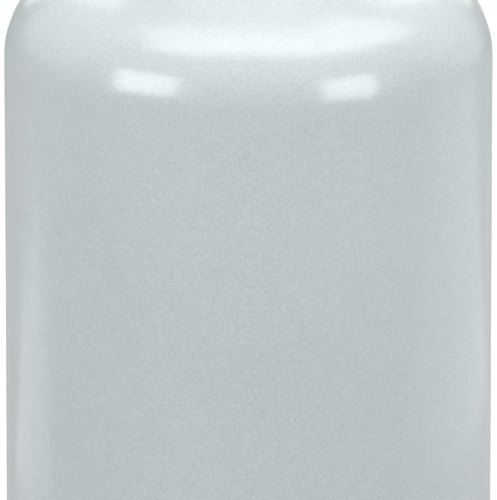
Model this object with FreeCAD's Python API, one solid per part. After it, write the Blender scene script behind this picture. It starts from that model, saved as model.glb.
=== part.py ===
"""A one-litre blow-moulded reagent bottle with its screw closure, in millimetres.

The bottle stands on Z = 0 with its axis on Z. Every section below is a closed outline in the
(radius, height) half-plane, turned about that axis. Threads are ridges swept along a helix.
"""
import FreeCAD, Part
import math
import os

# ---- bottle body ----
BODY_RADIUS = 46.0
WALL = 1.3
BASE_THICKNESS = 1.8
HEEL_RADIUS = 9.0            # round between the foot and the wall
FOOT_INNER_RADIUS = 32.5     # the flat foot is the ring from here to the heel round
PUSH_UP = 3.8                # height of the domed base's centre
DOME_EDGE_RADIUS = 30.0      # where the dome turns down to the foot ring
DOME_EDGE_HEIGHT = 2.2
WALL_TOP = 150.0             # where the straight wall meets the shoulder round
SHOULDER_RADIUS = 18.0
SHOULDER_SLOPE = math.radians(28.0)
SHOULDER_THICKNESS = 1.5

# ---- neck finish ----
NECK_RADIUS = 20.75          # core under the thread
NECK_BASE_RADIUS = 21.3      # below the locking bead, where the tamper band hangs
NECK_BASE_ROUND = 5.0
BORE_RADIUS = 18.4
LIP_Z = 203.5
BEAD_RADIUS = 23.4           # locking bead that keeps the tamper band on
BEAD_UNDERSIDE_Z = 184.6
BEAD_HEIGHT = 1.2            # of the bead's rim
BEAD_TAPER = 2.8             # height over which the bead slopes back to the core

# ---- thread, single start, right hand ----
PITCH = 4.0
NECK_THREAD_RADIUS = 22.45
CAP_BORE_RADIUS = 22.9
CAP_THREAD_RADIUS = 21.25
THREAD_BOTTOM_Z = 191.2      # middle of the neck ridge where it starts
THREAD_TURNS = 2.0
THREAD_DROP = 1.75           # how far the cap's ridge lies under the neck's when tight
RIDGE_BASE = 1.25            # half width at the wall
RIDGE_CREST = 0.45           # half width at the crest
RIDGE_ROOT = 0.4             # how deep the ridge is set in its wall
FADE_DEGREES = 50.0          # angle over which a ridge sinks into the wall at each end

# ---- closure ----
CAP_RADIUS = 27.0
CAP_RIB_ROOT_RADIUS = 26.3
CAP_TOP_THICKNESS = 2.0
PANEL_RADIUS = 19.0          # round panel sunk in the cap's top
PANEL_DEPTH = 0.6
GATE_RADIUS = 1.6            # dimple round the moulding gate, in the middle of the panel
GATE_DEPTH = 0.25
TOP_ROUND = 1.6              # round of the cap's upper edge
SKIRT_BOTTOM_Z = 187.4
COLLAR_HEIGHT = 2.2          # smooth ring at the foot of the skirt
RIB_COUNT = 48
RIB_RADIUS = 0.85
RIB_TAPER = 2.2              # height of a rib's pointed upper end
RIB_HEADROOM = 1.3           # from a rib's point to the cap's top
CAP_RECESS_RADIUS = 21.1
CAP_BEAD_RADIUS = 20.6       # small bead that keeps the liner in the cap
LINER_RADIUS = 20.9
FACING_THICKNESS = 0.25
FOAM_THICKNESS = 1.6
CONTACT_GAP = 0.05

# ---- pouring ring ----
RING_BORE_RADIUS = 17.4
RING_FLANGE_RADIUS = 20.0
RING_DEPTH = 8.5
RING_CREST = 2.3             # height of the pouring edge over the lip
RING_EDGE_RADIUS = 19.4      # outside of the pouring edge
RING_FLANGE = 0.9            # thickness of the flange on the lip

# ---- tamper band ----
BAND_TOP_Z = 186.7
BAND_BOTTOM_Z = 181.2
BAND_BORE_RADIUS = 23.9
BAND_CATCH_RADIUS = 22.2
CATCH_COUNT = 12
CATCH_DEGREES = 19.0
CATCH_Z = 183.1              # underside of the catches' inner edge
NIB_COUNT = 16
NIB_RADIUS = 25.4            # inner side of the nibs
NIB_DEPTH = 0.9
NIB_WIDTH = 1.1

# ---- heights that follow from the ones above ----
FACING_Z = LIP_Z + RING_CREST + CONTACT_GAP
FOAM_Z = FACING_Z + FACING_THICKNESS
CAP_CEILING_Z = FOAM_Z + FOAM_THICKNESS + CONTACT_GAP
CAP_TOP_Z = CAP_CEILING_Z + CAP_TOP_THICKNESS

ORIGIN = FreeCAD.Vector(0, 0, 0)
UP = FreeCAD.Vector(0, 0, 1)


def at(radius, height):
    return FreeCAD.Vector(radius, 0, height)


def rounded_wire(corners):
    """Closed wire through corners (radius, height[, round]), with a tangent arc at each round."""
    points = [at(c[0], c[1]) for c in corners]
    rounds = [c[2] if len(c) > 2 else 0.0 for c in corners]
    arcs = []
    for i, point in enumerate(points):
        if not rounds[i]:
            arcs.append((point, None, point))
            continue
        to_last = (points[i - 1] - point).normalize()
        to_next = (points[(i + 1) % len(points)] - point).normalize()
        half = to_last.getAngle(to_next) / 2
        middle = (to_last + to_next).normalize()
        tangent = rounds[i] / math.tan(half)
        nearest = rounds[i] / math.sin(half) - rounds[i]
        arcs.append((point + to_last * tangent, point + middle * nearest, point + to_next * tangent))
    edges = []
    for i, (start, mid, end) in enumerate(arcs):
        before = arcs[i - 1][2]
        if before.distanceToPoint(start) > 1e-6:
            edges.append(Part.LineSegment(before, start).toShape())
        if mid:
            edges.append(Part.Arc(start, mid, end).toShape())
    return Part.Wire(edges)


def turned(corners, degrees=360.0):
    """Solid of revolution about Z of an outline of (radius, height[, round]) corners."""
    return Part.Face(rounded_wire(corners)).revolve(ORIGIN, UP, degrees)


def about_axis(shape, count, first=0.0):
    """Copies of shape spaced evenly round the Z axis."""
    copies = []
    for i in range(count):
        copy = shape.copy()
        copy.rotate(ORIGIN, UP, first + 360.0 * i / count)
        copies.append(copy)
    return copies


def smooth_step(share):
    share = min(1.0, max(0.0, share))
    return share * share * (3 - 2 * share)


def thread_ridge(wall_radius, crest_radius, bottom_z):
    """Helical ridge from a round wall to crest_radius, sinking into the wall at both ends."""
    side = 1.0 if crest_radius > wall_radius else -1.0
    height = abs(crest_radius - wall_radius)
    sunk = height + 0.1
    total = 360.0 * THREAD_TURNS
    steps = int(total / 10)
    path = []
    for i in range(steps + 1):
        angle = total * i / steps
        proud = smooth_step(angle / FADE_DEGREES) * smooth_step((total - angle) / FADE_DEGREES)
        radius = wall_radius - side * sunk * (1 - proud)
        turn = math.radians(angle)
        path.append(FreeCAD.Vector(radius * math.cos(turn), radius * math.sin(turn),
                                   bottom_z + PITCH * angle / 360))
    spine = Part.BSplineCurve()
    spine.interpolate(path)
    start = path[0].x
    section = rounded_wire([
        (start - side * RIDGE_ROOT, bottom_z - RIDGE_BASE),
        (start, bottom_z - RIDGE_BASE),
        (start + side * height, bottom_z - RIDGE_CREST, 0.3),
        (start + side * height, bottom_z + RIDGE_CREST, 0.3),
        (start, bottom_z + RIDGE_BASE),
        (start - side * RIDGE_ROOT, bottom_z + RIDGE_BASE),
    ])
    sweep = Part.BRepOffsetAPI.MakePipeShell(Part.Wire([spine.toShape()]))
    sweep.setBiNormalMode(UP)
    sweep.add(section)
    sweep.build()
    sweep.makeSolid()
    return sweep.shape()


def slope_rise(radius):
    """Height that the shoulder's cone has gained where it reaches this radius."""
    return (BODY_RADIUS - radius) * math.tan(SHOULDER_SLOPE)


def bottle():
    """Thin-walled body, shoulder and threaded neck, moulded in one piece."""
    turn = math.pi / 2 - SHOULDER_SLOPE
    corner_z = WALL_TOP + SHOULDER_RADIUS * math.tan(turn / 2)
    cone_drop = SHOULDER_THICKNESS / math.cos(SHOULDER_SLOPE)
    inner_radius = BODY_RADIUS - WALL
    outside = [
        (0, PUSH_UP),
        (DOME_EDGE_RADIUS, DOME_EDGE_HEIGHT, 8.0),
        (FOOT_INNER_RADIUS, 0, 0.5),
        (BODY_RADIUS, 0, HEEL_RADIUS),
        (BODY_RADIUS, corner_z, SHOULDER_RADIUS),
        (NECK_BASE_RADIUS, corner_z + slope_rise(NECK_BASE_RADIUS), NECK_BASE_ROUND),
        (NECK_BASE_RADIUS, BEAD_UNDERSIDE_Z, 0.3),
        (BEAD_RADIUS, BEAD_UNDERSIDE_Z, 0.3),
        (BEAD_RADIUS, BEAD_UNDERSIDE_Z + BEAD_HEIGHT, 0.5),
        (NECK_RADIUS, BEAD_UNDERSIDE_Z + BEAD_HEIGHT + BEAD_TAPER, 0.8),
        (NECK_RADIUS, LIP_Z, 0.8),
        (BORE_RADIUS, LIP_Z),
    ]
    inside = [
        (BORE_RADIUS, corner_z + slope_rise(BORE_RADIUS) - cone_drop, 3.0),
        (inner_radius, corner_z + slope_rise(inner_radius) - cone_drop, SHOULDER_RADIUS - WALL),
        (inner_radius, BASE_THICKNESS, HEEL_RADIUS - BASE_THICKNESS),
        (FOOT_INNER_RADIUS + 1.0, BASE_THICKNESS, 3.0),
        (DOME_EDGE_RADIUS - 0.3, DOME_EDGE_HEIGHT + BASE_THICKNESS, 6.0),
        (0, PUSH_UP + BASE_THICKNESS),
    ]
    shell = turned(outside + inside)
    return shell.fuse(thread_ridge(NECK_RADIUS, NECK_THREAD_RADIUS, THREAD_BOTTOM_Z))


def pouring_ring():
    """Drip-free ring pressed in the bore, with a flange on the lip and a flared pouring edge."""
    return turned([
        (BORE_RADIUS, LIP_Z - RING_DEPTH + 0.6),
        (BORE_RADIUS, LIP_Z),
        (RING_FLANGE_RADIUS, LIP_Z, 0.2),
        (RING_FLANGE_RADIUS, LIP_Z + RING_FLANGE, 0.3),
        (RING_EDGE_RADIUS - 0.5, LIP_Z + RING_FLANGE, 0.4),
        (RING_EDGE_RADIUS + 0.15, LIP_Z + RING_CREST - 0.15),
        (RING_EDGE_RADIUS, LIP_Z + RING_CREST),
        (RING_EDGE_RADIUS - 0.45, LIP_Z + RING_CREST, 0.15),
        (RING_BORE_RADIUS, LIP_Z + 0.4, 2.0),
        (RING_BORE_RADIUS, LIP_Z - RING_DEPTH, 0.2),
        (BORE_RADIUS - 0.5, LIP_Z - RING_DEPTH, 0.2),
    ])


def disc(radius, bottom_z, thickness):
    return Part.makeCylinder(radius, thickness, at(0, bottom_z))


def cap_rib():
    """One grip rib: a half-round bar with a pointed upper end."""
    bottom = SKIRT_BOTTOM_Z + COLLAR_HEIGHT - 0.4
    shoulder = CAP_TOP_Z - RIB_HEADROOM - RIB_TAPER
    axis_radius = CAP_RADIUS - RIB_RADIUS
    bar = Part.makeCylinder(RIB_RADIUS, shoulder - bottom, at(axis_radius, bottom))
    tip = Part.makeCone(RIB_RADIUS, 0.15, RIB_TAPER, at(axis_radius, shoulder))
    return bar.fuse(tip)


def screw_cap():
    """Ribbed cap with a recessed top, a liner seat with its bead, and an internal thread."""
    collar_top = SKIRT_BOTTOM_Z + COLLAR_HEIGHT
    panel_z = CAP_TOP_Z - PANEL_DEPTH
    shell = turned([
        (0, panel_z - 0.05),
        (0.5, panel_z - 0.05, 0.08),
        (0.7, panel_z - GATE_DEPTH),
        (GATE_RADIUS - 0.25, panel_z - GATE_DEPTH, 0.1),
        (GATE_RADIUS, panel_z, 0.1),
        (PANEL_RADIUS, panel_z, 0.6),
        (PANEL_RADIUS + 1.2, CAP_TOP_Z, 0.5),
        (CAP_RIB_ROOT_RADIUS, CAP_TOP_Z, TOP_ROUND),
        (CAP_RIB_ROOT_RADIUS, collar_top + 0.5, 0.3),
        (CAP_RADIUS, collar_top - 0.2, 0.3),
        (CAP_RADIUS, SKIRT_BOTTOM_Z, 0.3),
        (CAP_BORE_RADIUS, SKIRT_BOTTOM_Z, 0.3),
        (CAP_BORE_RADIUS, LIP_Z - 2.4, 0.5),
        (CAP_RECESS_RADIUS, LIP_Z - 0.9, 0.5),
        (CAP_RECESS_RADIUS, LIP_Z + 1.3, 0.1),
        (CAP_BEAD_RADIUS, LIP_Z + 1.7, 0.1),
        (CAP_BEAD_RADIUS, LIP_Z + 1.9, 0.1),
        (CAP_RECESS_RADIUS, LIP_Z + 2.3),
        (CAP_RECESS_RADIUS, CAP_CEILING_Z, 0.15),
        (0, CAP_CEILING_Z),
    ])
    ridge = thread_ridge(CAP_BORE_RADIUS, CAP_THREAD_RADIUS, THREAD_BOTTOM_Z - THREAD_DROP)
    return shell.multiFuse([ridge] + about_axis(cap_rib(), RIB_COUNT))


def tamper_band():
    """Ring left on the neck once its bridges break: catches inside it, broken nibs on its top."""
    ring = turned([
        (BAND_BORE_RADIUS, BAND_BOTTOM_Z, 0.2),
        (CAP_RADIUS, BAND_BOTTOM_Z, 0.6),
        (CAP_RADIUS, BAND_TOP_Z, 0.3),
        (BAND_BORE_RADIUS, BAND_TOP_Z, 0.3),
    ])
    catch = turned([
        (BAND_BORE_RADIUS + 0.3, CATCH_Z - 1.6),
        (BAND_BORE_RADIUS + 0.3, CATCH_Z + 1.0),
        (BAND_CATCH_RADIUS, CATCH_Z + 0.7, 0.2),
        (BAND_CATCH_RADIUS, CATCH_Z, 0.2),
    ], CATCH_DEGREES)
    nib_height = SKIRT_BOTTOM_Z - CONTACT_GAP - BAND_TOP_Z
    corner = FreeCAD.Vector(NIB_RADIUS, -NIB_WIDTH / 2, BAND_TOP_Z - 0.3)
    nib = Part.makeBox(NIB_DEPTH, NIB_WIDTH, nib_height + 0.3, corner)
    return ring.multiFuse(about_axis(catch, CATCH_COUNT) + about_axis(nib, NIB_COUNT, 5.0))


def main():
    os.makedirs("parts", exist_ok=True)
    pieces = {
        "bottle": bottle(),
        "pouring_ring": pouring_ring(),
        "screw_cap": screw_cap(),
        "liner_foam": disc(LINER_RADIUS, FOAM_Z, FOAM_THICKNESS),
        "liner_facing": disc(LINER_RADIUS, FACING_Z, FACING_THICKNESS),
        "tamper_band": tamper_band(),
    }
    for name, shape in pieces.items():
        print(name, shape.ShapeType, len(shape.Solids), shape.isValid(), round(shape.Volume, 1))
        shape.exportStep(f"parts/{name}.step")


main()
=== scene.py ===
"""Looks of the one-litre reagent bottle: moulded bottle, closure materials, studio and camera.

Lengths in the outlines are in millimetres, as (radius, height[, round]) corners turned about Z.
"""

import math

import bpy
from mathutils import Matrix, Vector


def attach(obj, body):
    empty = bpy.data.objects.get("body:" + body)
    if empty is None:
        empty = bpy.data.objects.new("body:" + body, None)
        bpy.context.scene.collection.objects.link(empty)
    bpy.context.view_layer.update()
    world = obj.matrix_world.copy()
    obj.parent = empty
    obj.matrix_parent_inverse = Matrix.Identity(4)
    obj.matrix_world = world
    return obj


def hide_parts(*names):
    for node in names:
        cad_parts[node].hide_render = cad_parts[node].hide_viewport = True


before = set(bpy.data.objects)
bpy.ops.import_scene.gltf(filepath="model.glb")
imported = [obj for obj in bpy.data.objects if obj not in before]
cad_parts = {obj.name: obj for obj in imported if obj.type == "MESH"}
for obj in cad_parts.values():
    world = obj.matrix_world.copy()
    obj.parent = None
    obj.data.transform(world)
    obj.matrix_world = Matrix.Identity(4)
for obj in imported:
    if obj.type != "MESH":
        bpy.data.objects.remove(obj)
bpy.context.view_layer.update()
MM = 0.001

# ---- sizes in millimetres, the same as the CAD part's ----
BODY_RADIUS = 46.0
WALL = 1.3
BASE_THICKNESS = 1.8
HEEL_RADIUS = 9.0
FOOT_INNER_RADIUS = 32.5
PUSH_UP = 3.8
DOME_EDGE_RADIUS = 30.0
DOME_EDGE_HEIGHT = 2.2
WALL_TOP = 150.0
SHOULDER_RADIUS = 18.0
SHOULDER_SLOPE = math.radians(28.0)
SHOULDER_THICKNESS = 1.5
NECK_RADIUS = 20.75
NECK_BASE_RADIUS = 21.3
NECK_BASE_ROUND = 5.0
BORE_RADIUS = 18.4
LIP_Z = 203.5
BEAD_RADIUS = 23.4
BEAD_UNDERSIDE_Z = 184.6
BEAD_HEIGHT = 1.2
BEAD_TAPER = 2.8
PITCH = 4.0
THREAD_RADIUS = 22.45
THREAD_BOTTOM_Z = 191.2
THREAD_TURNS = 2
RIDGE_BASE = 1.25
RIDGE_CREST = 0.45
FADE_DEGREES = 50.0

CAP_RADIUS = 27.0

# ---- surface of the mouldings, in millimetres ----
LINE_HEIGHT = 0.10           # of the mould's parting line
LINE_HALF_WIDTH = 0.25
WELD_HEIGHT = 0.34           # of the pinched weld across the base
WELD_HALF_LENGTH = 25.0
WELD_HALF_WIDTH = 1.25
# slow waves of the wall: height, waves per turn, climb per millimetre of height, phase
WAVES = [
    (0.030, 2, 0.0, 0.7),
    (0.016, 3, 1 / 31.0, 0.0),
    (0.012, 5, -1 / 17.0, 1.9),
    (0.014, 0, 1 / 23.0, 0.6),
]
NECK_FADE = (172.0, 182.0)   # heights between which the grain fades out
WEAR_START = 26.6            # radius where the closure's rubbed rim begins

# ---- colours of the two plastics ----
BOTTLE_DARK = (0.620, 0.665, 0.676)
BOTTLE_LIGHT = (0.774, 0.831, 0.844)
BOTTLE_NECK = (0.700, 0.751, 0.763)
CLOSURE_DARK = (0.595, 0.597, 0.585)
CLOSURE_LIGHT = (0.665, 0.667, 0.655)
CLOSURE_WORN = (0.550, 0.550, 0.538)

# ---- grid round the axis ----
COLUMN_DEGREES = 1.5
SEAM_COLUMNS = (0.15, 0.32, 0.55, 0.9)   # extra columns each side of the parting line, in degrees
THREAD_ZONE_Z = 189.7        # where the rows that climb with the thread begin, at angle 0
RIDGE_MIDDLE = THREAD_BOTTOM_Z - THREAD_ZONE_Z
BOTTLE_SHARP_DEGREES = 40.0  # edges sharper than this shade as edges
CLOSURE_SHARP_DEGREES = 32.0
# rows within one pitch, closer together on the ridge's flanks
THREAD_ROWS = (0.0, 0.25, 0.45, 0.65, 0.85, 1.05, 1.22, 1.5, 1.78, 1.95, 2.15, 2.35, 2.55, 2.75, 3.2, 3.6)

# ---- studio, with lengths in metres ----
SHOULDER = Vector((0, 0, WALL_TOP * MM))
LIGHT_COLOUR = (0.957, 0.985, 0.998)
AIR_GLOW = 0.08              # of the room, as it lights the object
STAND_DISTANCE = 0.6         # of the standing lights from the shoulder
PANEL_HEIGHT = 0.9           # of the overhead panels over the shoulder
CARD_HEIGHT = 0.003          # of the reflector cards over the floor
LENS = 924.0                 # focal length in millimetres
CAMERA_ELEVATION = math.radians(15.0)
CAMERA_DISTANCE = 2.434
CAMERA_AIM_Z = WALL_TOP * MM - 0.0384
FLOOR_SIZE = 24.0
FLOOR_Z = -0.0002            # just under the foot
# the floor's albedo and glow: as seen, as mirrored in the object, and as light that it throws back
FLOOR_SEEN = (0.32, 0.76)
FLOOR_MIRRORED = (0.26, 0.28)
FLOOR_BOUNCED = (0.15, 0.18)
# name, azimuth, elevation, width and height as shares of the distance, brightness, roll
STANDING = [
    ("softbox_left", -48.8, 12.3, 0.555, 0.378, 5.60, 2.5),
    ("softbox_right", 47.2, 8.0, 0.470, 0.390, 5.25, -5),
    ("side_left", -112, 28, 1.0, 1.0, 0.48, 0),
    ("side_right", 121, 20, 0.85, 1.0, 0.48, 0),
    ("fill_back", 180, 30, 1.2, 1.0, 1.4, 0),
]
# the overhead softbox, in strips: left, right, back and front edges as shares of the height, brightness
OVERHEAD = [
    (-0.50, 0.64, 0.56, 0.72, 2.9),
    (-0.72, 0.84, 0.42, 0.56, 3.4),
    (-0.82, 1.00, 0.28, 0.42, 3.4),
    (-0.72, 1.12, 0.14, 0.28, 2.5),
    (-0.68, -0.20, 0.00, 0.14, 2.1),
    (-0.20, 0.40, 0.00, 0.14, 1.3),
    (0.40, 1.18, 0.00, 0.14, 3.1),
    (-0.64, -0.20, -0.14, 0.00, 1.7),
    (-0.20, 0.40, -0.14, 0.00, 1.3),
    (0.40, 1.25, -0.14, 0.00, 2.6),
    (0.30, 1.33, -0.42, -0.14, 1.9),
]
# reflector cards lying on the floor: name, azimuth and distance from the bottle, width, depth, brightness
CARDS = [
    ("card_left", -118, 0.335, 0.17, 0.18, 0.66),
    ("card_left_far", -117, 0.460, 0.06, 0.07, 0.7),
    ("card_right", 112, 0.500, 0.39, 0.46, 0.41),
]


def smooth_step(share):
    share = min(1.0, max(0.0, share))
    return share * share * (3 - 2 * share)


def sampled(corners, arc_step, run_step):
    """Points along an open outline of (radius, height[, round]) corners, dense enough to shade well."""
    points = [Vector(c[:2]) for c in corners]
    path = [points[0]]
    for i in range(1, len(points)):
        size = corners[i][2] if len(corners[i]) > 2 else 0.0
        arc = [points[i]]
        if size:
            before = (points[i - 1] - points[i]).normalized()
            after = (points[i + 1] - points[i]).normalized()
            half = before.angle(after) / 2
            tangent = size / math.tan(half)
            centre = points[i] + (before + after).normalized() * (size / math.sin(half))
            start = points[i] + before * tangent - centre
            end = points[i] + after * tangent - centre
            first = math.atan2(start.y, start.x)
            swing = math.remainder(math.atan2(end.y, end.x) - first, math.tau)
            count = max(2, math.ceil(abs(math.degrees(swing)) / arc_step))
            arc = [centre + size * Vector((math.cos(first + swing * k / count),
                                           math.sin(first + swing * k / count)))
                   for k in range(count + 1)]
        run = arc[0] - path[-1]
        pieces = max(1, math.ceil(run.length / run_step))
        path += [path[-1] + run * (k / pieces) for k in range(1, pieces)]
        path += arc
    return path


def path_normals(path):
    """Unit normal at each point of a path, to the right of its direction."""
    normals = []
    for i in range(len(path)):
        along = path[min(i + 1, len(path) - 1)] - path[max(i - 1, 0)]
        normals.append(Vector((along.y, -along.x)).normalized())
    return normals


# ---------------------------------------------------------------- bottle
def slope_z(radius):
    """Height of the shoulder's cone at this radius."""
    turn = math.pi / 2 - SHOULDER_SLOPE
    corner_z = WALL_TOP + SHOULDER_RADIUS * math.tan(turn / 2)
    return corner_z + (BODY_RADIUS - radius) * math.tan(SHOULDER_SLOPE)


def outside_path():
    """From the middle of the foot up the outside to the start of the thread zone."""
    return sampled([
        (0, PUSH_UP),
        (DOME_EDGE_RADIUS, DOME_EDGE_HEIGHT, 8.0),
        (FOOT_INNER_RADIUS, 0, 0.5),
        (BODY_RADIUS, 0, HEEL_RADIUS),
        (BODY_RADIUS, slope_z(BODY_RADIUS), SHOULDER_RADIUS),
        (NECK_BASE_RADIUS, slope_z(NECK_BASE_RADIUS), NECK_BASE_ROUND),
        (NECK_BASE_RADIUS, BEAD_UNDERSIDE_Z, 0.3),
        (BEAD_RADIUS, BEAD_UNDERSIDE_Z, 0.3),
        (BEAD_RADIUS, BEAD_UNDERSIDE_Z + BEAD_HEIGHT, 0.5),
        (NECK_RADIUS, BEAD_UNDERSIDE_Z + BEAD_HEIGHT + BEAD_TAPER, 0.8),
        (NECK_RADIUS, THREAD_ZONE_Z),
    ], arc_step=4.0, run_step=3.0)


def inside_path():
    """From the top of the thread zone over the lip and down the inside to the middle of the base."""
    inner_radius = BODY_RADIUS - WALL
    drop = SHOULDER_THICKNESS / math.cos(SHOULDER_SLOPE)
    return sampled([
        (NECK_RADIUS, THREAD_ZONE_Z + (THREAD_TURNS + 1) * PITCH),
        (NECK_RADIUS, LIP_Z, 0.8),
        (BORE_RADIUS, LIP_Z, 0.15),
        (BORE_RADIUS, slope_z(BORE_RADIUS) - drop, 3.0),
        (inner_radius, slope_z(inner_radius) - drop, SHOULDER_RADIUS - WALL),
        (inner_radius, BASE_THICKNESS, HEEL_RADIUS - BASE_THICKNESS),
        (FOOT_INNER_RADIUS + 1.0, BASE_THICKNESS, 3.0),
        (DOME_EDGE_RADIUS - 0.3, DOME_EDGE_HEIGHT + BASE_THICKNESS, 6.0),
        (0, PUSH_UP + BASE_THICKNESS),
    ], arc_step=9.0, run_step=8.0)


def moulding_relief(x, y, z):
    """How far the moulded surface stands off its outline, in mm: parting line, pinch-off, slow waves."""
    turn = math.atan2(y, x)
    line = LINE_HEIGHT * math.exp(-(y / LINE_HALF_WIDTH) ** 2)
    wall_share = smooth_step((z - 6) / 25) * smooth_step((168 - z) / 20)
    waves = sum(height * math.sin(count * turn + climb * z + phase) for height, count, climb, phase in WAVES)
    weld = 0.0
    if z < PUSH_UP + 0.5:
        across = smooth_step((WELD_HALF_WIDTH - abs(y)) / 0.7)
        along = smooth_step((WELD_HALF_LENGTH - abs(x)) / 1.5)
        weld = WELD_HEIGHT * across * along
        line *= smooth_step((abs(x) - WELD_HALF_LENGTH) / 2.0)
    return line + waves * wall_share + weld


def thread_point(row, degrees):
    """Radius and height of a grid point in the thread zone, whose rows climb with the helix."""
    per_turn = len(THREAD_ROWS)
    share = degrees / 360.0

    def rise(k):
        return PITCH * (k // per_turn) + THREAD_ROWS[k % per_turn]

    if row <= per_turn:
        return NECK_RADIUS, THREAD_ZONE_Z + rise(row) * share
    above = row - per_turn
    if above > THREAD_TURNS * per_turn:
        top = THREAD_ZONE_Z + PITCH * (THREAD_TURNS + share)
        return NECK_RADIUS, top + rise(above - THREAD_TURNS * per_turn) * (1 - share)
    angle = 360.0 * (above // per_turn) + degrees
    proud = smooth_step(angle / FADE_DEGREES) * smooth_step((360.0 * THREAD_TURNS - angle) / FADE_DEGREES)
    offset = abs(THREAD_ROWS[above % per_turn] - RIDGE_MIDDLE)
    flank = smooth_step((RIDGE_BASE - offset) / (RIDGE_BASE - RIDGE_CREST))
    radius = NECK_RADIUS + (THREAD_RADIUS - NECK_RADIUS) * flank * proud
    return radius, THREAD_ZONE_Z + PITCH * share + rise(above)


def grid_angles():
    """Angles of the grid's columns in degrees, closer together at the parting line."""
    angles = {round(i * COLUMN_DEGREES, 4) for i in range(int(360 / COLUMN_DEGREES))}
    for seam in (0.0, 180.0):
        for step in SEAM_COLUMNS:
            angles |= {round((seam + step) % 360, 4), round((seam - step) % 360, 4)}
    return sorted(angles)


def mesh_piece(name, points, faces, material):
    """A smooth-shaded mesh object of points in millimetres."""
    mesh = bpy.data.meshes.new(name)
    mesh.from_pydata([Vector(p) * MM for p in points], [], faces)
    mesh.validate()
    mesh.materials.append(material)
    mesh.shade_smooth()
    mesh.set_sharp_from_angle(angle=math.radians(BOTTLE_SHARP_DEGREES))
    piece = bpy.data.objects.new(name, mesh)
    bpy.context.scene.collection.objects.link(piece)
    return piece


def make_bottle(material):
    """The moulding as one closed grid: rows of points round the axis, joined by faces."""
    angles = grid_angles()
    count = len(angles)
    points = []
    rows = []

    def add(radius, height, degrees, normal=None):
        turn = math.radians(degrees)
        x, y = radius * math.cos(turn), radius * math.sin(turn)
        if normal:
            off = moulding_relief(x, y, height)
            x += off * normal.x * math.cos(turn)
            y += off * normal.x * math.sin(turn)
            height += off * normal.y
        points.append((x, y, height))
        return len(points) - 1

    def add_rows(path, relief):
        normals = path_normals(path)
        for point, normal in zip(path, normals):
            if point.x < 1e-6:
                rows.append([add(0, point.y, 0)] * (count + 1))
                continue
            row = [add(point.x, point.y, a, normal if relief else None) for a in angles]
            rows.append(row + row[:1])

    add_rows(outside_path(), True)
    per_turn = len(THREAD_ROWS)
    last = (THREAD_TURNS + 2) * per_turn
    zone = []
    for k in range(last + 1):
        start = zone[0][0] if 0 < k <= per_turn else add(*thread_point(k, 0), 0)
        zone.append([start] + [add(*thread_point(k, a), a) for a in angles[1:]])
    for k in range(last + 1):
        zone[k].append(zone[min(k + per_turn, last)][0])
    rows.extend(zone)
    add_rows(inside_path(), False)

    faces = []
    for lower, upper in zip(rows, rows[1:]):
        for i in range(count):
            loop = [lower[i], lower[i + 1], upper[i + 1], upper[i]]
            corners = [v for k, v in enumerate(loop) if v != loop[k - 1]]
            if len(corners) > 2:
                faces.append(corners)
    return mesh_piece("bottle_moulding", points, faces, material)


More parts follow.
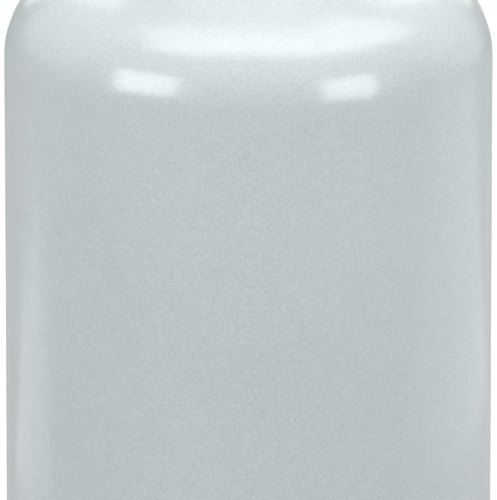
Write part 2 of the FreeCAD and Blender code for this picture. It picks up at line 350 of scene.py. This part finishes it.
# ---------------------------------------------------------------- materials
class Nodes:
    """Short ways to add and link shader nodes."""

    def __init__(self, name):
        self.material = bpy.data.materials.new(name)
        self.material.use_nodes = True
        self.tree = self.material.node_tree
        self.shader = self.tree.nodes["Principled BSDF"]
        self.output = self.tree.nodes["Material Output"]
        self.place = self.add("ShaderNodeTexCoord").outputs["Object"]

    def add(self, kind, **values):
        node = self.tree.nodes.new(kind)
        for key, value in values.items():
            setattr(node, key, value)
        return node

    def link(self, source, target):
        self.tree.links.new(source, target)

    def stretched(self, scale):
        """Object coordinates, scaled on each axis."""
        mapping = self.add("ShaderNodeMapping")
        mapping.inputs["Scale"].default_value = scale
        self.link(self.place, mapping.inputs["Vector"])
        return mapping.outputs["Vector"]

    def noise(self, scale, detail, place=None):
        node = self.add("ShaderNodeTexNoise")
        node.inputs["Scale"].default_value = scale
        node.inputs["Detail"].default_value = detail
        self.link(place or self.place, node.inputs["Vector"])
        return node.outputs["Fac"]

    def spread(self, source, low, high, low_in=0.25, high_in=0.75):
        """The source's range low_in to high_in, stretched to low to high."""
        node = self.add("ShaderNodeMapRange")
        for key, value in (("From Min", low_in), ("From Max", high_in), ("To Min", low), ("To Max", high)):
            node.inputs[key].default_value = value
        self.link(source, node.inputs["Value"])
        return node.outputs["Result"]

    def weighted(self, sources):
        """Sum of (source, weight) pairs."""
        total = None
        for source, weight in sources:
            node = self.add("ShaderNodeMath", operation="MULTIPLY_ADD")
            node.inputs[1].default_value = weight
            node.inputs[2].default_value = 0.0
            self.link(source, node.inputs[0])
            if total:
                self.link(total, node.inputs[2])
            total = node.outputs["Value"]
        return total

    def worn_rim(self, start, rim):
        """0 inside the radius start, up to a patchy 1 at the rim, where hands and shelves rub."""
        across = self.stretched((1.0, 1.0, 0.0))
        radius = self.add("ShaderNodeVectorMath", operation="LENGTH")
        self.link(across, radius.inputs[0])
        near_rim = self.spread(radius.outputs["Value"], 0.0, 1.0, start, rim)
        patchy = self.add("ShaderNodeMath", operation="MULTIPLY")
        self.link(near_rim, patchy.inputs[0])
        self.link(self.spread(self.noise(160.0, 4.0), 0.0, 1.0, 0.35, 0.75), patchy.inputs[1])
        return patchy.outputs["Value"]

    def blended(self, share, first, second_colour):
        """From the first colour to a fixed second one."""
        mix = self.add("ShaderNodeMix", data_type="RGBA")
        self.link(share, mix.inputs["Factor"])
        self.link(first, mix.inputs["A"])
        mix.inputs["B"].default_value = (*second_colour, 1)
        return mix.outputs["Result"]

    def colours(self, source, dark, light):
        """From the dark colour to the light one over the middle of the source's range."""
        node = self.add("ShaderNodeValToRGB")
        node.color_ramp.elements[0].position = 0.3
        node.color_ramp.elements[1].position = 0.7
        node.color_ramp.elements[0].color = (*dark, 1)
        node.color_ramp.elements[1].color = (*light, 1)
        self.link(source, node.inputs["Fac"])
        return node.outputs["Color"]

    def bump(self, source, distance, strength, under=None):
        node = self.add("ShaderNodeBump")
        node.inputs["Strength"].default_value = strength
        node.inputs["Distance"].default_value = distance
        self.link(source, node.inputs["Height"])
        if under:
            self.link(under, node.inputs["Normal"])
        return node.outputs["Normal"]


def polyethylene():
    """Milky white high-density polyethylene: fine grain of a blasted mould, smoother on the neck."""
    n = Nodes("milky_polyethylene")
    shader = n.shader.inputs
    grain = n.noise(2600.0, 1.0)
    mottle = n.weighted([(grain, 0.75), (n.noise(300.0, 2.0), 0.10), (n.noise(26.0, 3.0), 0.15)])
    grained = n.colours(mottle, BOTTLE_DARK, BOTTLE_LIGHT)
    height = n.add("ShaderNodeSeparateXYZ")
    n.link(n.place, height.inputs["Vector"])
    on_neck = n.spread(height.outputs["Z"], 0.0, 0.8, NECK_FADE[0] * MM, NECK_FADE[1] * MM)
    n.link(n.blended(on_neck, grained, BOTTLE_NECK), shader["Base Color"])
    n.link(n.spread(n.noise(60.0, 4.0), 0.16, 0.19), shader["Roughness"])
    shader["IOR"].default_value = 1.56
    shader["Coat Weight"].default_value = 0.6
    shader["Coat Roughness"].default_value = 0.5
    shader["Subsurface Weight"].default_value = 0.35
    shader["Subsurface Radius"].default_value = (1.0, 0.95, 0.9)
    shader["Subsurface Scale"].default_value = 0.004
    drawn = n.noise(140.0, 3.0, n.stretched((1.0, 1.0, 0.06)))
    n.link(n.bump(drawn, 0.00002, 0.35, n.bump(grain, 0.00001, 0.5)), shader["Normal"])
    return n.material


def polypropylene():
    """Natural white moulded polypropylene: satin, with faint flow marks and edges rubbed duller."""
    n = Nodes("white_polypropylene")
    shader = n.shader.inputs
    flow = n.noise(70.0, 3.0, n.stretched((1.0, 1.0, 0.35)))
    speckle = n.noise(3000.0, 1.0)
    tone = n.weighted([(flow, 0.7), (speckle, 0.3)])
    new = n.colours(tone, CLOSURE_DARK, CLOSURE_LIGHT)
    worn = n.worn_rim(WEAR_START * MM, CAP_RADIUS * MM)
    n.link(n.blended(worn, new, CLOSURE_WORN), shader["Base Color"])
    polish = n.weighted([(n.spread(n.noise(90.0, 4.0), 0.20, 0.28), 1.0), (worn, 0.14)])
    n.link(polish, shader["Roughness"])
    shader["IOR"].default_value = 1.49
    shader["Subsurface Weight"].default_value = 0.25
    shader["Subsurface Radius"].default_value = (1.0, 1.0, 0.9)
    shader["Subsurface Scale"].default_value = 0.002
    n.link(n.bump(speckle, 0.000008, 0.5, n.bump(flow, 0.00003, 0.25)), shader["Normal"])
    return n.material


def foam():
    """Fine closed-cell foam."""
    n = Nodes("liner_foam_cells")
    shader = n.shader.inputs
    cells = n.add("ShaderNodeTexVoronoi")
    cells.inputs["Scale"].default_value = 3200.0
    n.link(n.place, cells.inputs["Vector"])
    n.link(n.colours(n.noise(80.0, 3.0), (0.76, 0.76, 0.73), (0.82, 0.82, 0.79)), shader["Base Color"])
    shader["Roughness"].default_value = 0.85
    n.link(n.bump(cells.outputs["Distance"], 0.00008, 0.8), shader["Normal"])
    return n.material


def facing():
    """Smooth white fluoropolymer film with faint rolling marks."""
    n = Nodes("liner_facing_film")
    shader = n.shader.inputs
    n.link(n.colours(n.noise(50.0, 2.0), (0.86, 0.86, 0.85), (0.90, 0.90, 0.89)), shader["Base Color"])
    n.link(n.spread(n.noise(300.0, 3.0, n.stretched((1.0, 0.05, 1.0))), 0.30, 0.42), shader["Roughness"])
    n.link(n.bump(n.noise(500.0, 2.0, n.stretched((1.0, 0.05, 1.0))), 0.00002, 0.3), shader["Normal"])
    return n.material


# ---------------------------------------------------------------- object
bottle = make_bottle(polyethylene())
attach(bottle, "bottle")
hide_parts("bottle")

closure = polypropylene()
looks = {
    "screw_cap": closure,
    "tamper_band": closure,
    "pouring_ring": closure,
    "liner_foam": foam(),
    "liner_facing": facing(),
}
for node, material in looks.items():
    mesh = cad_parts[node].data
    mesh.materials.clear()
    mesh.materials.append(material)
    mesh.shade_smooth()
    mesh.set_sharp_from_angle(angle=math.radians(CLOSURE_SHARP_DEGREES))


# ---------------------------------------------------------------- studio
def stage_floor():
    """Pale floor, seen from above only, so that the underside of the object can be looked at too."""
    bpy.ops.mesh.primitive_plane_add(size=FLOOR_SIZE, location=(0, 0, FLOOR_Z))
    floor = bpy.context.object
    floor.name = "studio_floor"
    n = Nodes("studio_floor")
    rays = n.add("ShaderNodeLightPath")

    def paint(albedo, glow):
        shader = n.add("ShaderNodeBsdfPrincipled")
        shader.inputs["Base Color"].default_value = (albedo, albedo, albedo, 1)
        shader.inputs["Emission Color"].default_value = (1, 1, 1, 1)
        shader.inputs["Emission Strength"].default_value = glow
        shader.inputs["Roughness"].default_value = 0.9
        shader.inputs["Specular IOR Level"].default_value = 0.1
        return shader.outputs["BSDF"]

    def choose(question, no, yes):
        mix = n.add("ShaderNodeMixShader")
        n.link(question, mix.inputs["Fac"])
        n.link(no, mix.inputs[1])
        n.link(yes, mix.inputs[2])
        return mix.outputs["Shader"]

    bounced = choose(rays.outputs["Is Diffuse Ray"], paint(*FLOOR_MIRRORED), paint(*FLOOR_BOUNCED))
    from_above = choose(rays.outputs["Is Camera Ray"], bounced, paint(*FLOOR_SEEN))
    below = n.add("ShaderNodeNewGeometry").outputs["Backfacing"]
    see_through = n.add("ShaderNodeBsdfTransparent").outputs["BSDF"]
    n.link(choose(below, from_above, see_through), n.output.inputs["Surface"])
    floor.data.materials.append(n.material)


def add_light(name, place, turn, width, height, brightness):
    """Rectangular light of a given radiance, which the camera itself doesn't see."""
    data = bpy.data.lights.new(name, "AREA")
    data.shape = "RECTANGLE"
    data.size, data.size_y = width, height
    data.energy = math.pi * brightness * width * height
    data.color = LIGHT_COLOUR
    light = bpy.data.objects.new(name, data)
    light.location = place
    light.rotation_euler = turn
    light.visible_camera = False
    bpy.context.scene.collection.objects.link(light)


def add_lights():
    """Softboxes on stands, a softbox overhead made of strips of several brightnesses, and cards."""
    for name, azimuth, elevation, width, height, brightness, roll in STANDING:
        a, e = math.radians(azimuth), math.radians(elevation)
        out = Vector((math.sin(a) * math.cos(e), -math.cos(a) * math.cos(e), math.sin(e)))
        turn = out.to_track_quat("Z", "Y").to_matrix() @ Matrix.Rotation(math.radians(roll), 3, "Z")
        add_light(name, SHOULDER + out * STAND_DISTANCE, turn.to_euler(),
                  width * STAND_DISTANCE, height * STAND_DISTANCE, brightness)
    for i, (left, right, back, front, brightness) in enumerate(OVERHEAD):
        middle = Vector(((left + right) / 2, -(back + front) / 2, 1.0)) * PANEL_HEIGHT
        add_light(f"overhead_{i:02d}", SHOULDER + middle, (0, 0, 0),
                  (right - left) * PANEL_HEIGHT, (front - back) * PANEL_HEIGHT, brightness)
    for name, azimuth, distance, width, depth, brightness in CARDS:
        a = math.radians(azimuth)
        place = (distance * math.sin(a), -distance * math.cos(a), CARD_HEIGHT)
        add_light(name, place, (math.pi, 0, a), width, depth, brightness)


def studio():
    """Floor, lights and room: plain white to the camera, almost dark as a light on the object."""
    stage_floor()
    add_lights()
    world = bpy.data.worlds.new("studio_air")
    world.use_nodes = True
    tree = world.node_tree
    air = tree.nodes["Background"]
    air.inputs["Color"].default_value = (*LIGHT_COLOUR, 1)
    air.inputs["Strength"].default_value = AIR_GLOW
    plain = tree.nodes.new("ShaderNodeBackground")
    plain.inputs["Color"].default_value = (1, 1, 1, 1)
    seen = tree.nodes.new("ShaderNodeLightPath")
    mix = tree.nodes.new("ShaderNodeMixShader")
    tree.links.new(seen.outputs["Is Camera Ray"], mix.inputs["Fac"])
    tree.links.new(air.outputs["Background"], mix.inputs[1])
    tree.links.new(plain.outputs["Background"], mix.inputs[2])
    tree.links.new(mix.outputs["Shader"], tree.nodes["World Output"].inputs["Surface"])
    bpy.context.scene.world = world
    bpy.context.scene.view_settings.view_transform = "Standard"


def camera():
    """A very long lens, looking slightly down at the upper half of the bottle."""
    data = bpy.data.cameras.new("photo_camera")
    data.sensor_width = 36.0
    data.lens = LENS
    data.clip_start, data.clip_end = 0.1, 60.0
    eye = bpy.data.objects.new("photo_camera", data)
    back = Vector((0, -math.cos(CAMERA_ELEVATION), math.sin(CAMERA_ELEVATION)))
    eye.location = Vector((0, 0, CAMERA_AIM_Z)) + back * CAMERA_DISTANCE
    eye.rotation_euler = back.to_track_quat("Z", "Y").to_euler()
    bpy.context.scene.collection.objects.link(eye)
    bpy.context.scene.camera = eye


studio()
camera()
